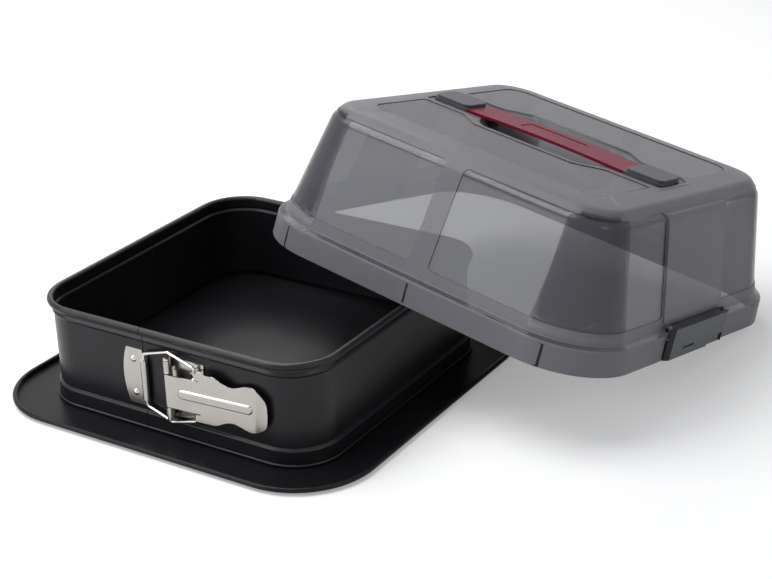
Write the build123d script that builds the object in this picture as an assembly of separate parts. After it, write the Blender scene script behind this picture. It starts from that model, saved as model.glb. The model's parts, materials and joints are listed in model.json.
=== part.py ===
from build123d import *
import os
from math import atan2, degrees, hypot

os.makedirs("parts", exist_ok=True)

# Square springform pan, 24 cm inside, on a leak-proof base, with a domed carrying cover.
# The origin is the middle of the base's underside. The clasp is on the -Y face.
# The cover leans on the rim of the pan, as it lies beside it when the pan is filled.

# Pan
pan_half = 120.0                # inside face of the band, from the centre
pan_corner = 33.0               # inside radius of the band's corners
steel = 0.8                     # thickness of the band
rim_top = 81.5                  # top of the rolled rim above the table
rim_roll = 2.1                  # mean radius of the rolled rim
bead_z = 71.5                   # stiffening bead round the band
bead_out = 1.3
foot_top = 15.0                 # where the band steps out over the base
foot_low = 13.4
foot_out = 1.7                  # how far the foot stands outside the band
hem_roll = 0.8
hem_z = 2.6

# Base
base_half = 154.9
base_corner = 60.0
base_steel = 1.0
floor_z = 11.8                  # baking surface
plateau_half = 120.6
plateau_corner = 33.5
tray_half = 148.0               # flat bottom of the gutter
lip_z = 3.4
lip_roll = 1.4

# Clasp
clasp_z = 41.5                  # height of its middle
seam_x = -19.5                  # where the two ends of the band meet
seam_gap = 0.5
plate_steel = 1.0
knuckle_x = -17.4
knuckle_y = -123.6
knuckle_half = 15.5
wire = 1.2                      # radius of the bail's wire
pin_x = 6.5                     # axis that the lever turns on
pin_y = -127.4
pin_r = 1.5
bracket_half = 23.0
tongue_half = 12.6
lever_lean = 4.3                # degrees that the closed lever slopes towards the band
eye_reach = 22.0                # from the lever's axis to the bail's ends
eye_in = 0.6                    # how far the bail's ends lie behind that axis
eye_half = 21.0                 # the bail's arms at its ends, from the middle
bail_half = 27.6                # the bail at its widest
bail_wide_x = 5.5
fit = 0.1                       # radial clearance of a turning fit

# Cover
cover_half = 155.8
cover_corner = 58.7
cover_wall = 2.2
skirt_z = 18.4
ledge_z = 20.5
shoulder_z = 99.8
edge_z = 109.2
crown_z = 111.8
turns = (1.4, 0.9, 2.6, 2.6)    # how far each turn of the outline is cut back to round it
relief = 0.5                    # how deep the clear windows lie in the frosted frame
pillar_half = 8.5
clip_pillar_half = 45.0
clip_pillar_out = 1.5
channel_end = 107.0             # shallow channel that the handle lies in
channel_half = 25.5
channel_deep = 1.7
channel_wide = 40.5             # its half width beside the finger well
well_half_x = 57.0
well_half_y = 38.0
well_floor = 90.0
panel_half = 100.5              # clear panels on top, round the channel
panel_end = 103.0
strap_half = 16.5
strap_end = 104.0
strap_steps = 66.0              # where the strap leaves the channel and arches over the well
strap_thick = 2.2
strap_rise = 1.3
cap_in = 72.0
cap_half = 14.5
cap_thick = 2.4
groove_turn = 18.0              # upright grooves in the skirt, this far round its corners
groove_wide = 2.0
groove_deep = 0.9
clip_half = 41.0
clip_end = 46.4                 # half width of the clip at its chamfered ends
clip_wall = 2.6
clip_side_z = 15.6              # top of the clip's end walls, which fill a gap in the skirt
hinge_x = 153.0
hinge_z = 22.8
hinge_r = 1.6

# Where the cover lies: its own frame has the skirt's lower edge at z = 0
lean_at = (137.0, 148.7, 50.8)
lean_yaw = -6.96
lean_pitch = 8.155
lean_roll = -11.757
lean = Pos(*lean_at) * Rot(0, 0, lean_yaw) * Rot(0, lean_pitch, 0) * Rot(lean_roll, 0, 0)


def write(name, shape):
    shape.label = name
    export_step(shape, f"parts/{name}.step")


def bent_sheet(lines, thickness):
    """Section of a bent sheet: its middle line made as thick as the sheet, with round edges."""
    middle = Wire([edge for line in lines for edge in line.edges()])
    return Face(middle.offset_2d(thickness / 2))


def around(section, half, corner):
    """Carry an upright section, drawn at y = 0, round a square with round corners."""
    path = FilletPolyline((half, 0), (half, half), (-half, half), (-half, 0), radius=corner)
    side = sweep(Plane.XZ * section, path=path)
    return side + mirror(side, about=Plane.XZ)


def square(half, corner, z):
    return Pos(0, 0, z) * RectangleRounded(2 * half, 2 * half, corner)


def slab(half, corner, low, high):
    return extrude(square(half, corner, low), high - low)


# Band: rolled rim, stiffening bead, and a foot that steps out over the base
band_mid = pan_half + steel / 2
foot_mid = band_mid + foot_out
hem_x = foot_mid + hem_roll
rim_x = band_mid + rim_roll
rim_z = rim_top - rim_roll - steel / 2
band_line = FilletPolyline(
    (foot_mid, hem_z),
    (foot_mid, foot_low),
    (band_mid, foot_top),
    (band_mid, bead_z - 2.0),
    (band_mid + bead_out, bead_z),
    (band_mid, bead_z + 2.0),
    (band_mid, rim_z),
    radius=0.8,
)
hem = CenterArc((hem_x, hem_z), hem_roll, 180, 250)
rim = CenterArc((rim_x, rim_z), rim_roll, 180, -260)
band_section = bent_sheet([hem, band_line, rim], steel)
band = around(band_section, band_mid, pan_corner + steel / 2)
band_y = -(pan_half + steel)
seam = Pos(seam_x, band_y, rim_top / 2) * Box(seam_gap, 16, rim_top + 2)
band -= seam

# The clasp's two plates are riveted to the band's ends
plate_right = seam_x - 0.6
plate_left = plate_right - 14.2
plate_bulge = plate_left - 4.2
plate_z = 22.0
rivet_r = 1.5
rivet_head = 2.7
rivet_dome = 1.4
catch_rivet_x = plate_right - 8.6
catch_rivets_z = (clasp_z - 13.4, clasp_z + 13.4)
base_leaf_x = 24.5
base_rivets_z = (clasp_z - 8.0, clasp_z + 8.0)


def across(x, z, radius, inner, outer):
    """A round bar through the front of the band, from y = -inner out to y = -outer."""
    return Pos(x, -inner, z) * Rot(90, 0, 0) * Cylinder(
        radius, outer - inner, align=(Align.CENTER, Align.CENTER, Align.MIN))


def rivet(x, z):
    """A rivet with a flat head inside the pan and a domed head outside."""
    outside = pan_half + steel + plate_steel
    ball = (rivet_head ** 2 + rivet_dome ** 2) / (2 * rivet_dome)
    cap = across(x, z, rivet_head, outside, outside + rivet_dome)
    cap &= Pos(x, ball - outside - rivet_dome, z) * Sphere(ball)
    head = across(x, z, rivet_head, pan_half - 0.5, pan_half)
    return head + across(x, z, rivet_r, pan_half - 0.1, outside + 0.1) + cap


catch_holes = [across(catch_rivet_x, z, rivet_r, pan_half - 3, pan_half + 6) for z in catch_rivets_z]
leaf_holes = [across(base_leaf_x, z, rivet_r, pan_half - 3, pan_half + 6) for z in base_rivets_z]
band = band - catch_holes - leaf_holes
write("springform_band", band)

# Lap strip: spot-welded inside one end of the band, it covers the seam
lap_low = foot_top + 1.5
lap_high = bead_z - 3.5
lap_width = 12.0
lap = Pos(seam_x, -(pan_half - 0.3), (lap_low + lap_high) / 2) * Box(lap_width, 0.6, lap_high - lap_low)
write("seam_lap_strip", lap)

# Catch plate: a bowed plate whose straight edge is rolled into the bail's knuckle
plate_outline = make_face([
    Line((plate_right, clasp_z - plate_z), (plate_right, clasp_z + plate_z)),
    Line((plate_right, clasp_z + plate_z), (plate_left, clasp_z + plate_z)),
    ThreePointArc(
        (plate_left, clasp_z + plate_z), (plate_bulge, clasp_z), (plate_left, clasp_z - plate_z)),
    Line((plate_left, clasp_z - plate_z), (plate_right, clasp_z - plate_z)),
])
plate = Pos(0, band_y, 0) * extrude(Plane.XZ * plate_outline, plate_steel)
knuckle_out = band_y - knuckle_y
knuckle = Cylinder(knuckle_out, 2 * knuckle_half)
tab_long = knuckle_x - plate_right + 2
tab = Pos(-tab_long / 2, knuckle_out - plate_steel / 2, 0) * Box(
    tab_long, plate_steel, 2 * knuckle_half)
knuckle = knuckle + tab - Cylinder(wire + fit, 3 * knuckle_half)
plate += Pos(knuckle_x, knuckle_y, clasp_z) * knuckle
plate -= catch_holes
write("catch_plate", plate)
write("catch_rivets", Compound([rivet(catch_rivet_x, z) for z in catch_rivets_z]))

# Bracket: a hinge leaf with two knuckles, which hold the lever's pin
leaf_y = band_y - plate_steel / 2
roll_r = pin_r + fit + plate_steel / 2
leaf_end = 34.0
leaf_line = FilletPolyline(
    (leaf_end, leaf_y), (pin_x - roll_r, leaf_y), (pin_x - roll_r, pin_y), radius=2.4)
leaf_roll = CenterArc((pin_x, pin_y), roll_r, 180, 265)
bracket = Pos(0, 0, clasp_z - bracket_half) * extrude(
    bent_sheet([leaf_line, leaf_roll], plate_steel), 2 * bracket_half)
gap_half = tongue_half + 0.9
bracket -= Pos(pin_x, pin_y + 1.5, clasp_z) * Box(13, 10, 2 * gap_half)
bracket -= leaf_holes
write("lever_bracket", bracket)
write("bracket_rivets", Compound([rivet(base_leaf_x, z) for z in base_rivets_z]))

# Pin of the lever, with a head at each end
pin = Cylinder(pin_r, 2 * bracket_half + 0.4)
for end in (-1, 1):
    pin += Pos(0, 0, end * (bracket_half + 0.7)) * Cylinder(pin_r + 0.7, 1.0)
write("lever_pin", Pos(pin_x, pin_y, clasp_z) * pin)

# Lever, drawn about its own axis and closed flat, then leaned on the band.
# In this frame x runs to the tip, -y outwards and z up.
tip_x = 83.5
tip_bend_x = 72.0
plane_y = -roll_r
lever_line = FilletPolyline((0, plane_y), (tip_bend_x, plane_y), (tip_x + 1, plane_y - 2.6), radius=14)
lever_roll = CenterArc((0, 0), roll_r, 270, -265)
side = bent_sheet([lever_roll, lever_line], plate_steel)
lever = Pos(0, 0, -25) * extrude(side, 50)
shoulder_x = 23.5
shoulder_half = 18.9
slit = 1.0


lever_edge = [
    Polyline(
        (-4, 0),
        (-4, tongue_half),
        (shoulder_x + 3.5, tongue_half),
        (shoulder_x + 3.5, tongue_half + slit),
        (shoulder_x, tongue_half + slit),
        (shoulder_x, shoulder_half),
        (38.0, shoulder_half),
    ),
    Spline(
        (38.0, shoulder_half),
        (46.5, 15.4),
        (54.0, 13.8),
        (62.0, 15.8),
        (69.5, 17.4),
        (78.5, 13.2),
        (tip_x, 0),
        tangents=[(1, -0.15), (0, -1)],
    ),
    Line((tip_x, 0), (-4, 0)),
]
lever_upper = make_face([edge for line in lever_edge for edge in line.edges()])
lever_outline = lever_upper + mirror(lever_upper, about=Plane.XZ)
lever &= Pos(0, 10, 0) * extrude(Plane.XZ * lever_outline, 25)

# The ears stand in from the shoulders and hook over the bail's ends, open towards the band
ear_r = 3.1
ear_x = 31.0
ear_lobe = Pos(eye_reach, eye_in) * Circle(ear_r)
ear_root = Polyline(
    (shoulder_x, plane_y - 0.4),
    (ear_x, plane_y - 0.4),
    (ear_x, plane_y + 0.4),
    (shoulder_x, plane_y + 0.4),
    close=True)
ear_outline = make_hull([*ear_lobe.edges(), *ear_root.edges()])
eye_slot = Polyline(
    (eye_reach - wire - 0.15, eye_in),
    (eye_reach + wire + 0.15, eye_in),
    (eye_reach + wire + 0.15, eye_in + 6),
    (eye_reach - wire - 1.3, eye_in + 6),
    close=True)
ear_outline -= Pos(eye_reach, eye_in) * Circle(wire + 0.15)
ear_outline -= make_face(eye_slot)
for sign in (-1, 1):
    ear_z = sign * (shoulder_half - 0.5)
    lever += Pos(0, 0, ear_z - 0.5) * extrude(ear_outline, 1.0)

# A long pressed rib stiffens the lever
rib_from = 9.0
rib_to = 70.5
rib_width = 7.4
rib_high = 1.9
rib_shape = Pos((rib_from + rib_to) / 2, 0) * SlotOverall(rib_to - rib_from, rib_width)
rib = extrude(Plane.XZ * rib_shape, rib_high)
rib = Pos(0, plane_y + 0.1, 0) * fillet(rib.faces().sort_by(Axis.Y)[0].edges(), 1.6)
lever += rib
lever = Pos(pin_x, pin_y, clasp_z) * Rot(0, 0, lever_lean) * lever
write("lever", lever)

# Bail: one bent wire, from an ear of the lever, round through the knuckle, to the other ear
eye = Pos(pin_x, pin_y, 0) * Rot(0, 0, lever_lean) * Pos(eye_reach, eye_in, 0)
eye_dx = eye.position.X - knuckle_x
eye_dy = eye.position.Y - knuckle_y
bail_long = hypot(eye_dx, eye_dy)
bail_turn = degrees(atan2(eye_dy, eye_dx))
bail_points = [
    (bail_long, -(shoulder_half - 3.4)),
    (bail_long, -eye_half),
    (bail_wide_x - knuckle_x, -bail_half),
    (0, -(knuckle_half + 5.0)),
    (0, knuckle_half + 5.0),
    (bail_wide_x - knuckle_x, bail_half),
    (bail_long, eye_half),
    (bail_long, shoulder_half - 3.4),
]
bail_path = Plane.XZ * FilletPolyline(*bail_points, radius=2.2)
bail_start = Plane(origin=(bail_long, 0, bail_points[0][1]), x_dir=(1, 0, 0), z_dir=(0, 0, -1))
bail = sweep(bail_start * Circle(wire), path=bail_path)
bail = Pos(knuckle_x, knuckle_y, clasp_z) * Rot(0, 0, bail_turn) * bail
write("bail", bail)

# Base: raised baking surface, gutter and rolled lip
slab_edge = plateau_half - 4.0
floor_mid = floor_z - base_steel / 2
plateau_line = FilletPolyline(
    (slab_edge - 1, floor_mid),
    (plateau_half, floor_mid),
    (plateau_half, base_steel / 2),
    (plateau_half + 4, base_steel / 2),
    radius=1.0,
)
base = around(bent_sheet([plateau_line], base_steel), plateau_half, plateau_corner)
base += slab(slab_edge, plateau_corner - 4.0, floor_z - base_steel, floor_z)
gutter = slab(tray_half, base_corner - (base_half - tray_half), 0, base_steel)
gutter -= slab(plateau_half + 2, plateau_corner + 2, -1, base_steel + 1)
base += gutter
lip_mid = base_half - base_steel / 2 - lip_roll
lip_line = FilletPolyline(
    (tray_half - 2, base_steel / 2),
    (lip_mid - lip_roll - 0.9, base_steel / 2),
    (lip_mid - lip_roll, 2.0),
    (lip_mid - lip_roll, lip_z),
    radius=0.8,
)
lip = CenterArc((lip_mid, lip_z), lip_roll, 180, -250)
base += around(bent_sheet([lip_line, lip], base_steel), lip_mid, base_corner - lip_roll - 0.5)
write("base_plate", base)

# Cover, in its own frame: half width, corner radius and height of each level
levels = [
    (cover_half, cover_corner, 0),
    (cover_half - 1.0, cover_corner - 1.0, skirt_z),
    (149.3, 52.2, ledge_z),
    (130.1, 33.2, shoulder_z),
    (121.6, 25.0, edge_z),
    (101.0, 18.0, crown_z),
]
outer_drops = (0, 0, 0, 0, 0, 0)
wall_drops = (-1.0, -cover_wall, -cover_wall, -0.9, -1.9, -cover_wall)
relief_drops = (-1.0, -relief, -relief, -0.2, -0.45, -relief)


def softened(rings, cuts):
    """Levels with each turn of the outline cut back and rounded over a middle level."""
    soft = [rings[0]]
    for before, here, after, cut in zip(rings, rings[1:], rings[2:], cuts):
        near = here + (before - here).normalized() * cut
        far = here + (after - here).normalized() * cut
        soft += [near, near * 0.25 + here * 0.5 + far * 0.25, far]
    return [*soft, rings[-1]]


def dome(inset, drops, cuts):
    """The closed form of the cover, drawn in by inset, with its drop added to each height."""
    rings = [
        Vector(half - inset, corner - inset, z + drop)
        for (half, corner, z), drop in zip(levels, drops)
    ]
    if cuts:
        rings = softened(rings, cuts)
    return loft([square(ring.X, ring.Y, ring.Z) for ring in rings], ruled=True)


outer = dome(0, outer_drops, turns)
inner = dome(cover_wall, wall_drops, None)
skin = outer - dome(relief, relief_drops, turns)


def each_side(shape):
    """A shape on the right-hand side, with its mirror image on the left."""
    return [shape, mirror(shape, about=Plane.YZ)]


# The two ends have a frosted panel that stands proud, above each clip
proud = dome(-clip_pillar_out, outer_drops, turns)
pillar_low = hinge_z + hinge_r + 1.5
pillar_high = shoulder_z + 2.5
pillar_zone = Pos(150, 0, (pillar_low + pillar_high) / 2) * Box(
    100, 2 * clip_pillar_half, pillar_high - pillar_low)
shell = outer
for pillar in each_side(proud & pillar_zone):
    shell += pillar

# Channel for the handle, and the finger well under the strap


def channel(grow):
    """Outline of the channel, larger by grow: a slot that widens beside the well."""
    end = channel_end + grow
    narrow = channel_half + grow
    wide = channel_wide + grow
    quarter = [(end, narrow), (65.0, narrow), (45.0, wide)]
    upper = quarter + [(-x, y) for x, y in reversed(quarter)]
    lower = [(x, -y) for x, y in reversed(upper)]
    return make_face(FilletPolyline(*upper, *lower, radius=9.0, close=True))


def well(grow, high, low):
    """The well's form, larger by grow, between two heights."""
    mouth = Pos(0, 0, high) * RectangleRounded(
        2 * (well_half_x + grow), 2 * (well_half_y + grow), 28 + grow)
    bottom = Pos(0, 0, low) * RectangleRounded(
        2 * (well_half_x - 9 + grow), 2 * (well_half_y - 11 + grow), 22 + grow)
    return loft([mouth, bottom], ruled=True)


channel_floor = crown_z - channel_deep
hood = shell - inner
hood += extrude(Pos(0, 0, channel_floor - cover_wall) * channel(cover_wall), cover_wall + 1.0)
hood += well(cover_wall, channel_floor - 0.5, well_floor - cover_wall)
hood -= extrude(Pos(0, 0, channel_floor) * channel(0), channel_deep + 5)
hood -= well(0, channel_floor + 0.001, well_floor)

# Clear windows lie a little below the frosted frame: four round the corners, two on top
window_low = ledge_z + 8.5
window_high = shoulder_z + 3.8
window_tall = window_high - window_low
window_z = (window_low + window_high) / 2
reach = 200.0
front_view = Pos((pillar_half + reach) / 2, window_z) * RectangleRounded(
    reach - pillar_half, window_tall, 4.0)
side_view = Pos((clip_pillar_half + 1.5 + reach) / 2, window_z) * RectangleRounded(
    reach - clip_pillar_half - 1.5, window_tall, 4.0)
window = extrude(Plane.XZ * front_view, reach) & extrude(Plane.YZ * mirror(side_view, about=Plane.YZ), reach)
window &= skin
for corner_window in each_side(window):
    hood -= corner_window
    hood -= mirror(corner_window, about=Plane.XZ)
panels = RectangleRounded(2 * panel_end, 2 * panel_half, 14.0) - channel(4.0)
hood -= extrude(Pos(0, 0, crown_z - 6) * panels, 10) & skin

# Upright grooves in the skirt, a gap in it for each clip, and a pocket behind each clip's lip
groove = Pos(0, 0, ledge_z / 2) * Box(groove_wide, 2 * groove_deep, ledge_z - 3.0)
bend = cover_half - cover_corner
grooves = [Pos(0, -cover_half, 0) * groove]
grooves += each_side(Pos(bend, -bend, 0) * Rot(0, 0, groove_turn) * Pos(0, -cover_corner, 0) * groove)
for cut in grooves:
    hood -= cut
    hood -= mirror(cut, about=Plane.XZ)
skirt_gap = Pos(cover_half, 0, 7.5) * Box(8.0, 2 * (clip_end + 0.6), 17.0)
for cut in each_side(skirt_gap):
    hood -= cut
lip_in = 2.7
pocket_z = hinge_z - 3.3
pocket = Pos(hinge_x - lip_in / 2, 0, pocket_z + 2) * Box(lip_in + 0.8, 2 * clip_half + 0.8, 4)
for cut in each_side(pocket):
    hood -= cut

# Hinge lugs for the clips, on the ledge at both ends of the cover
lug_half = 2.0
lug_y = clip_half + 0.6 + lug_half
lug = Pos(hinge_x - 1.0, 0, hinge_z - 2.2) * Box(5.4, 2 * lug_half, 6.4)
lug += Pos(hinge_x, 0, hinge_z) * Rot(90, 0, 0) * Cylinder(2.9, 2 * lug_half)
for sign in (-1, 1):
    for lug_part in each_side(Pos(0, sign * lug_y, 0) * lug):
        hood += lug_part
hinge_bore = Pos(hinge_x, 0, hinge_z) * Rot(90, 0, 0) * Cylinder(hinge_r + fit, 2 * (lug_y + 6))
hinge_zone = Pos(hinge_x, 0, hinge_z) * Box(8, 2 * (lug_y + lug_half), 8)
for cut in each_side(hinge_bore & hinge_zone):
    hood -= cut
write("hood", lean * hood)

# Clip: a hinged flap that fills the gap in the skirt, with a hook along its lower edge
clip_x = cover_half + 0.5
clip_out = clip_x + clip_wall
clip_in = cover_half - 3.2
clip_low = 0.3
clip_top = hinge_z + hinge_r
clip_section = Polyline(
    (hinge_x - lip_in, clip_top),
    (clip_out, clip_top),
    (clip_out, clip_low),
    (clip_x - 2.6, clip_low),
    (clip_x - 2.0, clip_low + 2.0),
    (clip_x, clip_low + 2.6),
    (clip_x, hinge_z - 0.6),
    (hinge_x, hinge_z - 0.6),
    (hinge_x - lip_in, hinge_z + 0.5),
    close=True)
flap = extrude(Plane.XZ * make_face(clip_section), clip_half, both=True)
flap += Pos(hinge_x, 0, hinge_z) * Rot(90, 0, 0) * Cylinder(hinge_r, 2 * clip_half)
flap_end = Polyline(
    (clip_x, clip_half - 1),
    (clip_out, clip_half - 1),
    (clip_out, clip_half),
    (clip_x + 0.4, clip_end),
    (clip_x, clip_end),
    close=True)
flap_end = extrude(Pos(0, 0, clip_low) * make_face(flap_end), clip_top - clip_low)
end_wall = Pos((clip_in + clip_x + 0.4) / 2, clip_end - 1.1, (clip_low + clip_side_z) / 2) * Box(
    clip_x + 0.4 - clip_in, 2.2, clip_side_z - clip_low)
flap_end += end_wall
flap += flap_end + mirror(flap_end, about=Plane.XZ)
stubs = Pos(hinge_x, 0, hinge_z) * Rot(90, 0, 0) * Cylinder(hinge_r, 2 * (lug_y + lug_half - 0.4))
slot = Pos(clip_out, -14.0, 7.0) * Box(2.0, 17.0, 1.8)
grip = Pos(clip_out, 30.0, 2.0) * Box(3.0, 24.0, 11.0)
clip = flap + stubs - slot - grip
write("clip_right", lean * clip)
write("clip_left", lean * mirror(clip, about=Plane.YZ))

# Strap: seated at both ends and arched over the well
strap_z = channel_floor + strap_thick / 2
arch = ThreePointArc((-strap_steps, strap_z), (0, strap_z + strap_rise), (strap_steps, strap_z))
strap_face = bent_sheet([
    Line((-strap_end + 1.1, strap_z), (-strap_steps, strap_z)),
    arch,
    Line((strap_steps, strap_z), (strap_end - 1.1, strap_z)),
], strap_thick)
strap = extrude(Plane.XZ * strap_face, strap_half, both=True)
strap_outline = RectangleRounded(2 * strap_end, 2 * strap_half, 4.0)
label_panel = extrude(Pos(0, 0, strap_z) * RectangleRounded(54, 17, 3), 10)
label_floor = extrude(Plane.XZ * bent_sheet([arch], strap_thick - 0.8), strap_half, both=True)
strap -= label_panel - label_floor
strap &= extrude(Pos(0, 0, channel_floor - 1) * strap_outline, 20)
write("handle_strap", lean * strap)

# Caps over the strap's seated ends
cap = extrude(
    Pos((cap_in + strap_end) / 2, 0, strap_z + strap_thick / 2) * RectangleRounded(
        strap_end - cap_in, 2 * cap_half, 5.0), cap_thick)
cap = fillet(cap.faces().sort_by(Axis.Z)[-1].edges(), 0.7)
write("handle_cap_right", lean * cap)
write("handle_cap_left", lean * mirror(cap, about=Plane.YZ))
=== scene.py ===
# %% [markdown]
# # A springform pan and its carrying cover
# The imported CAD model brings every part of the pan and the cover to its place. This lesson gives
# those parts their finishes: a dark non-stick coating, bright clasp steel and smoky plastic that
# shows what is behind it. Every part is taken over as a clean, smoothed copy, and the cover's copy
# gets its clear windows. We start with the frame, because every later step measures from it.

# %% Load the frame
import json
from math import cos, hypot, radians, sin

import bmesh
import bpy
from mathutils import Matrix, Vector


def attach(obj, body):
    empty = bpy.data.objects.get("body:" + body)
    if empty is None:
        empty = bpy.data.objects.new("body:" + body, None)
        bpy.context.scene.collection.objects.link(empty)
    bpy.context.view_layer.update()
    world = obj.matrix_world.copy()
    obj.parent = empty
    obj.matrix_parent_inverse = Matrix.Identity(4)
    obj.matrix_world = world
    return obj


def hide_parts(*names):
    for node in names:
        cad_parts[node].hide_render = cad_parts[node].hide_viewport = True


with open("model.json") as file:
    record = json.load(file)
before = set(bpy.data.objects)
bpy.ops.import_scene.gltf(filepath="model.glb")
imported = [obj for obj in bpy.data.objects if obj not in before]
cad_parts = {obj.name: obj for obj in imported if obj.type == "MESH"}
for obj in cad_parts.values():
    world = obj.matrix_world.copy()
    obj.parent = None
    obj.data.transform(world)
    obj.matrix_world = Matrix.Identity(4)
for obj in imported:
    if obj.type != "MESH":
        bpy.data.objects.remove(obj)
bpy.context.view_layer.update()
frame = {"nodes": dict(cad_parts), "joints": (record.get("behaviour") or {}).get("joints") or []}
mm = 0.001
print("nodes:", ", ".join(sorted(frame["nodes"])))

# %% [markdown]
# ## The camera
# The photograph looks down at the pan from the right of its clasp. A camera is easiest to rebuild
# from where it stands, which way it looks and its lens. The photograph is a little crooked, so the
# camera is rolled as well: its right and up directions are turned about the line of sight.

# %% Camera
view_azimuth = radians(32.60)
view_height = radians(24.42)
view_roll = radians(-1.70)
lens_length = 80.99
film_width = 36.0
camera_place = Vector((718.79, -954.92, 604.20)) * mm
backwards = Vector((
    sin(view_azimuth) * cos(view_height),
    -cos(view_azimuth) * cos(view_height),
    sin(view_height),
))
level_right = (-backwards).cross(Vector((0, 0, 1))).normalized()
level_up = level_right.cross(-backwards)
rolled_right = level_right * cos(view_roll) + level_up * sin(view_roll)
rolled_up = level_up * cos(view_roll) - level_right * sin(view_roll)
bpy.ops.object.camera_add()
camera = bpy.context.object
camera.name = "photo_camera"
camera.data.lens = lens_length
camera.data.sensor_width = film_width
camera.data.clip_start = 0.05
turn = Matrix((rolled_right, rolled_up, backwards)).transposed().to_4x4()
camera.matrix_world = Matrix.Translation(camera_place) @ turn
bpy.context.scene.camera = camera
print("camera at", [round(c, 3) for c in camera.location])

# %% [markdown]
# ## Nodes and colours
# Paint charts and pictures give a colour as a hex value, but a shader counts in linear light. One
# function turns the first into the second. Another adds a shader node, fills its inputs and plugs
# other nodes into it, so that each finish below reads as a short list.


# %% Helpers for shaders
def linear(hex_colour):
    """sRGB hex to linear red, green, blue and a full alpha."""
    parts = [int(hex_colour[place:place + 2], 16) / 255 for place in (1, 3, 5)]
    return [c / 12.92 if c <= 0.04045 else ((c + 0.055) / 1.055) ** 2.4 for c in parts] + [1.0]


def add(tree, kind, settings={}, links={}):
    """Add a node. Settings fill its inputs or its own fields; links are input: (node, output)."""
    made = tree.nodes.new(kind)
    for name, value in settings.items():
        if isinstance(name, int) or name in made.inputs:
            made.inputs[name].default_value = value
        else:
            setattr(made, name, value)
    for name, (source, output) in links.items():
        tree.links.new(source.outputs[output], made.inputs[name])
    return made


def new_material(name):
    """A material with an empty node tree, and that tree."""
    material = bpy.data.materials.new(name)
    material.use_nodes = True
    material.node_tree.nodes.clear()
    return material, material.node_tree


def changed_copy(material, name, changes):
    """A copy of a material under its own name, with some inputs of its surface changed."""
    variant = material.copy()
    variant.name = name
    for node in variant.node_tree.nodes:
        if node.type == "BSDF_PRINCIPLED":
            for field, value in changes.items():
                node.inputs[field].default_value = value
    return variant


white = linear("#ffffff")
print("mid grey in linear light:", round(linear("#808080")[0], 3))

# %% [markdown]
# ## Studio
# A product shot like this one is taken on white paper under large soft lights. The paper is a wide
# plane that looks white to the camera, and to metal and glass, but still takes the object's shadow.
# To these it glows a little of its own, and the rest of its white comes from the lamps. The world
# around it is plain white to them, and only a mild grey as a lamp.


# %% Paper and surroundings
def rays_that_see(tree):
    """One for rays from the camera, off a gloss or through a clear part, and zero for light."""
    rays = add(tree, "ShaderNodeLightPath")
    seen = add(
        tree, "ShaderNodeMath", {"operation": "MAXIMUM"},
        {0: (rays, "Is Camera Ray"), 1: (rays, "Is Glossy Ray")})
    return add(
        tree, "ShaderNodeMath", {"operation": "MAXIMUM"},
        {0: (seen, 0), 1: (rays, "Is Transmission Ray")})


paper_width = 12.0
gap_under_pan = 0.0002
glow_share = 0.28
bpy.ops.mesh.primitive_plane_add(size=paper_width, location=(0, 0, -gap_under_pan))
paper = bpy.context.object
paper.name = "paper_floor"
paper_material, tree = new_material("white_paper")
paper_diffuse = add(tree, "ShaderNodeBsdfDiffuse", {"Color": linear("#f4f4f4")})
paper_glow = add(tree, "ShaderNodeEmission", {"Color": white, "Strength": 1.0})
paper_seen = add(
    tree, "ShaderNodeMixShader", {0: glow_share}, {1: (paper_diffuse, 0), 2: (paper_glow, 0)})
paper_mix = add(
    tree, "ShaderNodeMixShader", {},
    {0: (rays_that_see(tree), 0), 1: (paper_diffuse, 0), 2: (paper_seen, 0)})
add(tree, "ShaderNodeOutputMaterial", {}, {"Surface": (paper_mix, 0)})
paper.data.materials.append(paper_material)

world = bpy.data.worlds.new("studio_surroundings")
bpy.context.scene.world = world
world.use_nodes = True
tree = world.node_tree
tree.nodes.clear()
room_light = add(tree, "ShaderNodeBackground", {"Color": linear("#f2f4f8"), "Strength": 0.40})
white_seen = add(tree, "ShaderNodeBackground", {"Color": white, "Strength": 1.0})
room = add(
    tree, "ShaderNodeMixShader", {},
    {0: (rays_that_see(tree), 0), 1: (room_light, 0), 2: (white_seen, 0)})
add(tree, "ShaderNodeOutputWorld", {}, {"Surface": (room, 0)})
bpy.context.scene.view_settings.view_transform = "Standard"
print("stage:", paper.name, "and", world.name)


# %% Soft lights
def soft_light(name, at, size, power):
    """A square area light at a place in metres, aimed at the middle of the set."""
    aim = Vector((0.06, 0.04, 0.05))
    bpy.ops.object.light_add(type="AREA", location=at)
    lamp = bpy.context.object
    lamp.name = name
    lamp.data.size = size
    lamp.data.energy = power
    lamp.rotation_euler = (aim - Vector(at)).to_track_quat("-Z", "Y").to_euler()
    print(name, power, "W")
    return lamp


cool_white = (0.93, 0.96, 1.0)
soft_light("overhead_softbox", at=(-0.6, -0.25, 1.65), size=1.3, power=30)
left_softbox = soft_light("left_softbox", at=(-0.90, -1.25, 0.58), size=0.9, power=8.5)
left_softbox.data.color = cool_white
soft_light("right_softbox", at=(1.7, -0.4, 0.9), size=0.5, power=3)
soft_light("back_softbox", at=(-0.65, 1.0, 1.1), size=0.7, power=6)

# %% [markdown]
# ## Non-stick coating
# The band and the base are steel sheet with a sprayed and baked fluoropolymer coat. It is almost
# black, reflects little (its IOR is about 1.38) and has a satin sheen. Under the lamp it shows a fine
# orange-peel grain of about a millimetre. Noise at that size drives the bump, and a slow noise of some
# centimetres shifts the colour and the sheen, as an uneven spray does. The base looks duller than the
# band in the photograph, so it gets a copy that reflects less.

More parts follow.
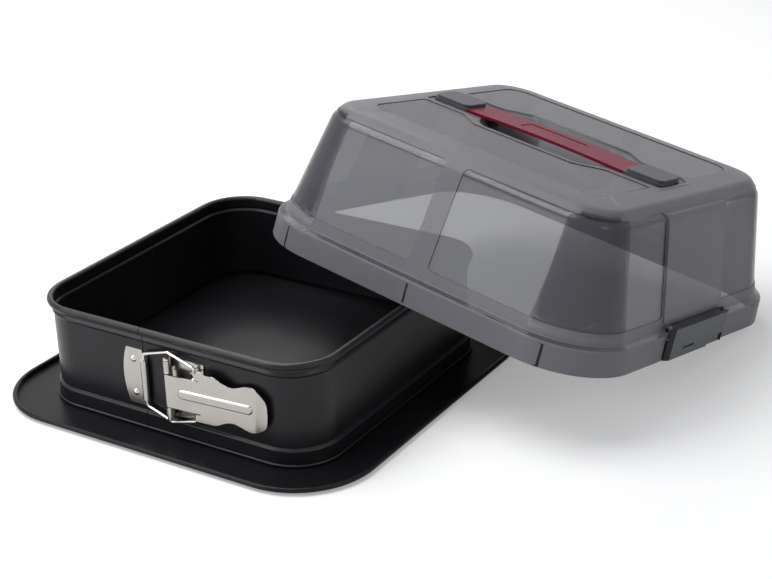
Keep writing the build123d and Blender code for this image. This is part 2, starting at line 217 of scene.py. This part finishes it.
# %% Coating of the pan
coating, tree = new_material("baked_nonstick_coating")
place = add(tree, "ShaderNodeTexCoord")
spray = add(
    tree, "ShaderNodeTexNoise", {"Scale": 22.0, "Detail": 3.0}, {"Vector": (place, "Object")})
peel = add(
    tree, "ShaderNodeTexNoise", {"Scale": 900.0, "Detail": 2.0, "Roughness": 0.6},
    {"Vector": (place, "Object")})
coat_colour = add(
    tree, "ShaderNodeMix", {"data_type": "RGBA", 6: linear("#0f0f12"), 7: linear("#161619")},
    {0: (spray, 0)})
coat_fleck = add(
    tree, "ShaderNodeMapRange", {"From Min": 0.35, "From Max": 0.7, "To Min": 0.0, "To Max": 0.25},
    {"Value": (peel, 0)})
coat_grain = add(
    tree, "ShaderNodeMix", {"data_type": "RGBA", 7: linear("#202024")},
    {0: (coat_fleck, 0), 6: (coat_colour, 2)})
coat_rough = add(tree, "ShaderNodeMapRange", {"To Min": 0.26, "To Max": 0.36}, {"Value": (spray, 0)})
coat_bump = add(tree, "ShaderNodeBump", {"Strength": 0.15, "Distance": 0.0002}, {"Height": (peel, 0)})
coat_shader = add(
    tree, "ShaderNodeBsdfPrincipled", {"IOR": 1.38, "Specular IOR Level": 0.42},
    {"Base Color": (coat_grain, 2), "Roughness": (coat_rough, 0), "Normal": (coat_bump, 0)})
add(tree, "ShaderNodeOutputMaterial", {}, {"Surface": (coat_shader, 0)})
base_coating = changed_copy(
    coating, "duller_nonstick_coating_of_base", {"Specular IOR Level": 0.2})
print("coatings:", coating.name, "and", base_coating.name)

# %% [markdown]
# ## Mottled finishes
# Most of the other finishes are made alike, so one function builds them. One noise drifts between two
# close colours, and one noise roughens the face and lifts it. A noise counts its marks per metre: a
# scale of 14 gives clouds of about 70 mm, and a scale of 1000 gives grains of about a millimetre. An
# etched or moulded grain is finer than that, too fine to show here, so it is drawn that coarse.


# %% One recipe for mottled finishes
def mottled_finish(name, colours, flow, grain, roughness, bump, surface):
    """A finish of two noises, each given by its scale and detail. Without a grain, flow does both."""
    material, tree = new_material(name)
    place = add(tree, "ShaderNodeTexCoord")
    clouds = add(
        tree, "ShaderNodeTexNoise", {"Scale": flow[0], "Detail": flow[1]},
        {"Vector": (place, "Object")})
    marks = clouds
    if grain:
        marks = add(
            tree, "ShaderNodeTexNoise", {"Scale": grain[0], "Detail": grain[1]},
            {"Vector": (place, "Object")})
    colour = add(
        tree, "ShaderNodeMix", {"data_type": "RGBA", 6: linear(colours[0]), 7: linear(colours[1])},
        {0: (clouds, 0)})
    rough = add(
        tree, "ShaderNodeMapRange", {"To Min": roughness[0], "To Max": roughness[1]},
        {"Value": (marks, 0)})
    lift = add(
        tree, "ShaderNodeBump", {"Strength": bump[0], "Distance": bump[1]}, {"Height": (marks, 0)})
    shader = add(
        tree, "ShaderNodeBsdfPrincipled", surface,
        {"Base Color": (colour, 2), "Roughness": (rough, 0), "Normal": (lift, 0)})
    add(tree, "ShaderNodeOutputMaterial", {}, {"Surface": (shader, 0)})
    print("finish:", name)
    return material


# %% [markdown]
# ## Clasp steel
# The clasp is pressed from bright steel strip. The strip is rolled, so fine lines run along it, and
# the pressing leaves it satin rather than mirror bright. The wire and the pin are drawn, which leaves
# them smoother. Both are metals, so their colour is in the reflection, and the metal keeps its IOR.

# %% Rolled strip and drawn wire
strip_steel, tree = new_material("rolled_bright_steel_strip")
place = add(tree, "ShaderNodeTexCoord")
along = add(
    tree, "ShaderNodeMapping", {"Scale": (60.0, 60.0, 1400.0)}, {"Vector": (place, "Object")})
roll_lines = add(tree, "ShaderNodeTexNoise", {"Scale": 1.0, "Detail": 3.0}, {"Vector": (along, 0)})
handling = add(
    tree, "ShaderNodeTexNoise", {"Scale": 90.0, "Detail": 2.0}, {"Vector": (place, "Object")})
steel_colour = add(
    tree, "ShaderNodeMix", {"data_type": "RGBA", 6: linear("#a9a5a0"), 7: linear("#b7b4af")},
    {0: (handling, 0)})
steel_rough = add(
    tree, "ShaderNodeMapRange", {"To Min": 0.22, "To Max": 0.25}, {"Value": (roll_lines, 0)})
steel_bump = add(
    tree, "ShaderNodeBump", {"Strength": 0.02, "Distance": 0.00005}, {"Height": (roll_lines, 0)})
steel_shader = add(
    tree, "ShaderNodeBsdfPrincipled", {"Metallic": 1.0},
    {"Base Color": (steel_colour, 2), "Roughness": (steel_rough, 0), "Normal": (steel_bump, 0)})
add(tree, "ShaderNodeOutputMaterial", {}, {"Surface": (steel_shader, 0)})
print("finish:", strip_steel.name)

wire_steel = mottled_finish(
    "drawn_bright_steel_wire", colours=("#c2beb8", "#d2cfca"), flow=(500.0, 2.0), grain=None,
    roughness=(0.12, 0.24), bump=(0.05, 0.00005), surface={"Metallic": 1.0})

# %% [markdown]
# ## Smoky plastic
# The cover is one injection moulding in a smoke-grey clear plastic (IOR about 1.57). Where the mould
# was etched the face comes out frosted and hides more, and where it was polished it is a clear window.
# A see-through sheet can be made with a glass shader or with alpha. Alpha is chosen, because a wall of
# 2 mm hardly bends what is behind it. Light passes two faces at each wall, so each face takes a part.
# In the top and in the rounded corners the sight line runs a long way inside the wall. The finish of
# these places is a copy that hides more and reflects less. It is partly painted shade: it also darkens
# places that reflect little light and show a shadowed floor behind. At a cut edge one looks along the
# wall, and it is nearly black.

# %% Frosted and clear faces of the cover
frosted = mottled_finish(
    "etched_smoke_plastic", colours=("#5e5c61", "#69676d"), flow=(14.0, 2.0), grain=(1300.0, 1.0),
    roughness=(0.36, 0.50), bump=(0.03, 0.0002),
    surface={"IOR": 1.57, "Specular IOR Level": 0.2, "Alpha": 0.84})
clear = mottled_finish(
    "polished_smoke_plastic", colours=("#3b3a42", "#45444c"), flow=(9.0, 2.0), grain=None,
    roughness=(0.17, 0.23), bump=(0.05, 0.001),
    surface={"IOR": 1.57, "Specular IOR Level": 0.5, "Alpha": 0.6})
# This denser copy is partly painted shade: it darkens the top panels and the rounded corners.
dense_clear_painted_shade = changed_copy(
    clear, "polished_smoke_plastic_lengthwise_painted_shade", {"Alpha": 0.76, "Specular IOR Level": 0.2})
# This nearly black finish is the look of a clear edge. In the skirt's notches it is also painted shade.
edge_and_notch_shade = mottled_finish(
    "edge_of_smoke_plastic_and_notch_shade", colours=("#131316", "#1c1c20"), flow=(60.0, 2.0), grain=None,
    roughness=(0.2, 0.3), bump=(0.05, 0.0002),
    surface={"IOR": 1.57, "Specular IOR Level": 0.15, "Alpha": 0.95})

# %% [markdown]
# ## Strap, caps and clips
# The strap is moulded in a clear dark red that lets a little light through. The caps over its ends are
# smoke grey like the cover, but let no light through and are etched all over. The clips are a thicker
# moulding of a smoke plastic with some green in it, so they are darker than the cover.

# %% Red strap, grey caps and dark clips
red = mottled_finish(
    "moulded_red_plastic", colours=("#5f1327", "#6f182d"), flow=(30.0, 2.0), grain=(1100.0, 1.0),
    roughness=(0.28, 0.40), bump=(0.1, 0.0002),
    surface={"IOR": 1.53, "Specular IOR Level": 0.06, "Alpha": 0.94})
cap_grey = mottled_finish(
    "etched_grey_cap_plastic", colours=("#3c3c43", "#47474f"), flow=(1000.0, 1.0), grain=None,
    roughness=(0.40, 0.55), bump=(0.15, 0.0002),
    surface={"IOR": 1.53, "Specular IOR Level": 0.2})
clip_dark = mottled_finish(
    "moulded_dark_smoke_plastic", colours=("#1c2326", "#273034"), flow=(45.0, 2.0), grain=None,
    roughness=(0.14, 0.26), bump=(0.05, 0.0004),
    surface={"IOR": 1.57, "Specular IOR Level": 0.35, "Alpha": 0.9})

# %% [markdown]
# ## The cover's own frame
# The cover leans, so nothing on it is square to the world. Its two clips turn on hinges that lie left
# and right of it, parallel to its sides. They give the cover's own directions: from hinge to hinge is
# its x, along a hinge is its y. With these, a point of the cover can be named as if it lay level.

# %% Directions of the leaning cover
hinges = {joint["name"]: joint for joint in frame["joints"]}
right_hinge = Vector(hinges["clip_right_swing"]["pos_m"])
left_hinge = Vector(hinges["clip_left_swing"]["pos_m"])
cover_x = (right_hinge - left_hinge).normalized()
cover_y = Vector(hinges["clip_left_swing"]["axis"]).normalized()
cover_z = cover_x.cross(cover_y)
hinge_height = 22.8 * mm
cover_origin = (right_hinge + left_hinge) / 2 - cover_z * hinge_height
cover_turn = Matrix((cover_x, cover_y, cover_z)).transposed()
print("cover stands at", [round(c, 4) for c in cover_origin])


def on_cover(x, y, z):
    """A point of the cover's own frame, in millimetres, as a place in the scene."""
    return cover_origin + cover_turn @ Vector((x, y, z)) * mm


# %% [markdown]
# ## Taking over CAD parts
# The loaded parts are loose triangles. They may be repainted but not reshaped. A part that needs
# smooth shading or two finishes is therefore copied: the copy's doubles are merged, its faces are
# shaded smooth up to an angle that keeps the real creases, and it stands in for the part.
#
# Two kinds of parts end in a second finish. Only the free part of the strap is red, and its ends under
# the caps are grey like them. A clip is boxed in at both ends, and through that much plastic no light
# comes, so its ends are nearly black. Such a part is cut at two planes before it is smoothed.


# %% Cut off the ends for a second finish
def finish_ends(piece, direction, reach, finish):
    """Cut a part at a distance to both sides of the cover's middle and refinish what lies beyond."""
    piece.data.materials.append(finish)
    shape = bmesh.new()
    shape.from_mesh(piece.data)
    for side in (-1, 1):
        everything = shape.verts[:] + shape.edges[:] + shape.faces[:]
        cut_place = cover_origin + direction * side * reach * mm
        bmesh.ops.bisect_plane(shape, geom=everything, plane_co=cut_place, plane_no=direction)
    for face in shape.faces:
        distance = abs((face.calc_center_median() - cover_origin).dot(direction))
        face.material_index = 1 if distance > reach * mm else 0
    shape.to_mesh(piece.data)
    shape.free()


# %% Copy a part as one clean mesh
same_point = 0.00001
same_plane = radians(0.3)
crease = radians(35)
sharp_edge = radians(50)
rounding_steps = 2


def take_over(part, body, finish, rounding=0, ends=None):
    """A clean, smoothed copy of a CAD part, which replaces it and rides on its body."""
    bpy.ops.object.select_all(action="DESELECT")
    source = frame["nodes"][part]
    piece = bpy.data.objects.new(part + "_finished", source.data.copy())
    bpy.context.collection.objects.link(piece)
    bpy.context.view_layer.objects.active = piece
    piece.select_set(True)
    bpy.ops.object.mode_set(mode="EDIT")
    bpy.ops.mesh.select_all(action="SELECT")
    bpy.ops.mesh.remove_doubles(threshold=same_point)
    bpy.ops.mesh.dissolve_limited(angle_limit=same_plane)
    bpy.ops.mesh.select_all(action="DESELECT")
    bpy.ops.object.mode_set(mode="OBJECT")
    piece.data.materials.clear()
    piece.data.materials.append(finish)
    if rounding:
        bpy.ops.object.modifier_add(type="BEVEL")
        bevel = piece.modifiers[-1]
        bevel.width = rounding * mm
        bevel.segments = rounding_steps
        bevel.limit_method = "ANGLE"
        bevel.angle_limit = sharp_edge
        bpy.ops.object.modifier_apply(modifier=bevel.name)
    if ends:
        finish_ends(piece, *ends)
    bpy.ops.object.shade_smooth_by_angle(angle=crease)
    bpy.ops.object.modifier_add(type="WEIGHTED_NORMAL")
    weighting = piece.modifiers[-1]
    weighting.keep_sharp = True
    bpy.ops.object.modifier_apply(modifier=weighting.name)
    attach(piece, body)
    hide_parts(part)
    print(part, len(piece.data.polygons), "faces")
    return piece


# %% Take over every part
take_over("springform_band", "ring", coating)
take_over("base_plate", "base", base_coating)
take_over("seam_lap_strip", "ring", coating)
take_over("lever", "lever", strip_steel)
take_over("lever_bracket", "ring", strip_steel)
take_over("catch_plate", "ring", strip_steel)
take_over("bail", "bail", wire_steel)
take_over("catch_rivets", "ring", wire_steel)
take_over("bracket_rivets", "ring", wire_steel)
take_over("lever_pin", "ring", wire_steel)

# These lengths are in millimetres. Both reaches are measured from the cover's middle.
small_rounding = 0.3
strap_red_reach = 72.0
clip_open_reach = 41.0
strap_ends = (cover_x, strap_red_reach, cap_grey)
clip_ends = (cover_y, clip_open_reach, edge_and_notch_shade)
take_over("handle_strap", "cover", red, small_rounding, strap_ends)
take_over("handle_cap_left", "cover", cap_grey)
take_over("handle_cap_right", "cover", cap_grey)
for clip in ("clip_left", "clip_right"):
    take_over(clip, clip, clip_dark, small_rounding, clip_ends)
hood = take_over("hood", "cover", frosted)

# %% [markdown]
# ## Windows of the hood
# Each clear window lies half a millimetre below the frosted frame, inside a small step. A face in the
# window is picked by its place, and the selection is grown over all faces that join it without a sharp
# turn. It stops at the step by itself, so the finish follows the moulded outline exactly. The two panels
# of the top are picked in the same way. They get the copy that hides more, which is partly painted
# shade.


# %% Clear windows and top panels
much_alike = 0.5
sharp_turn = radians(60)


def flood_from(piece, point, outward, slot_number):
    """Give one material slot to the smooth patch of faces round the face nearest to a point."""
    world_point = on_cover(*point)
    direction = cover_turn @ Vector(outward)
    faces = [face for face in piece.data.polygons if face.normal.dot(direction) > much_alike]
    start = min(faces, key=lambda face: (face.center - world_point).length)
    bpy.ops.object.mode_set(mode="EDIT")
    bpy.ops.mesh.select_all(action="DESELECT")
    shape = bmesh.from_edit_mesh(piece.data)
    shape.faces.ensure_lookup_table()
    shape.faces[start.index].select = True
    bmesh.update_edit_mesh(piece.data)
    bpy.ops.mesh.faces_select_linked_flat(sharpness=sharp_turn)
    piece.active_material_index = slot_number
    bpy.ops.object.material_slot_assign()
    bpy.ops.object.mode_set(mode="OBJECT")
    return sum(1 for face in piece.data.polygons if face.material_index == slot_number)


# The frosted finish has the first slot of the hood, and these three follow it.
frosted_slot, clear_slot, edge_and_notch_shade_slot, dense_shade_slot = range(4)
bpy.ops.object.select_all(action="DESELECT")
bpy.context.view_layer.objects.active = hood
hood.select_set(True)
for finish in (clear, edge_and_notch_shade, dense_clear_painted_shade):
    hood.data.materials.append(finish)

window_x, window_y, window_z = 70, 140, 60
for side_x in (-1, 1):
    for side_y in (-1, 1):
        in_window = (side_x * window_x, side_y * window_y, window_z)
        count = flood_from(hood, in_window, (0, side_y, 0), clear_slot)
        print("window", side_x, side_y, "clear faces so far", count)
# The top panels get the denser copy, which is partly painted shade.
panel_y, panel_z = 82, 111.3
for side_y in (-1, 1):
    count = flood_from(hood, (0, side_y * panel_y, panel_z), (0, 0, 1), dense_shade_slot)
    print("top panel", side_y, "dense faces so far", count)

# %% [markdown]
# ## Steps, ledge and notches
# The steps round the windows and the six notches in the skirt get the dark look of a clear edge. In the
# notches this dark is also painted shade. A step is a frosted face that shares an edge with a window or
# a panel, and a notch is found by its place. The ledge above the skirt is polished like the windows. So
# is the inside of the hood, which is picked like a window. Last, each polished face of a rounded corner
# gets the dense copy and its painted shade. The walls of the cover face its x or its y, so a face that
# is turned from both is in a corner.

# %% Steps round the windows
shape = bmesh.new()
shape.from_mesh(hood.data)
steps = [
    face for edge in shape.edges
    if len({face.material_index for face in edge.link_faces}) == 2
    for face in edge.link_faces if face.material_index == frosted_slot
]
for face in steps:
    face.material_index = edge_and_notch_shade_slot
shape.to_mesh(hood.data)
shape.free()
print("faces in the steps", len(steps))

# %% The ledge and the skirt's notches
ledge_low, ledge_high = 18.0, 21.0
facing_up = 0.85
notch_top = 19.5
notch_reach = 1.7
notch_face_area = 45 * mm * mm
middle_y = 155.8
near_corner_x, near_corner_y = 115.2, 152.9
notches = [(0.0, side_y * middle_y) for side_y in (-1, 1)]
for side_x in (-1, 1):
    notches += [(side_x * near_corner_x, side_y * near_corner_y) for side_y in (-1, 1)]
found = {"ledge": 0, "notches": 0}
for face in hood.data.polygons:
    x, y, z = cover_turn.transposed() @ (face.center - cover_origin) / mm
    nearest_notch = min(hypot(x - at_x, y - at_y) for at_x, at_y in notches)
    if ledge_low < z < ledge_high and face.normal.dot(cover_z) > facing_up:
        face.material_index = clear_slot
        found["ledge"] += 1
    # Notch faces get the nearly black edge finish, which here is partly painted shade.
    elif face.area < notch_face_area and z < notch_top and nearest_notch < notch_reach:
        face.material_index = edge_and_notch_shade_slot
        found["notches"] += 1
print("faces found", found)

# %% The inner face and the rounded corners
on_inner_wall = (0, -145, 50)
count = flood_from(hood, on_inner_wall, (0, 1, 0), clear_slot)
print("clear faces with the inner face", count)
# Polished faces in the rounded corners get the denser copy, which is partly painted shade.
corner_turn = 0.03
corners = 0
for face in hood.data.polygons:
    turned = min(abs(face.normal.dot(cover_x)), abs(face.normal.dot(cover_y)))
    if face.material_index == clear_slot and turned > corner_turn:
        face.material_index = dense_shade_slot
        corners += 1
print("faces in the rounded corners", corners)
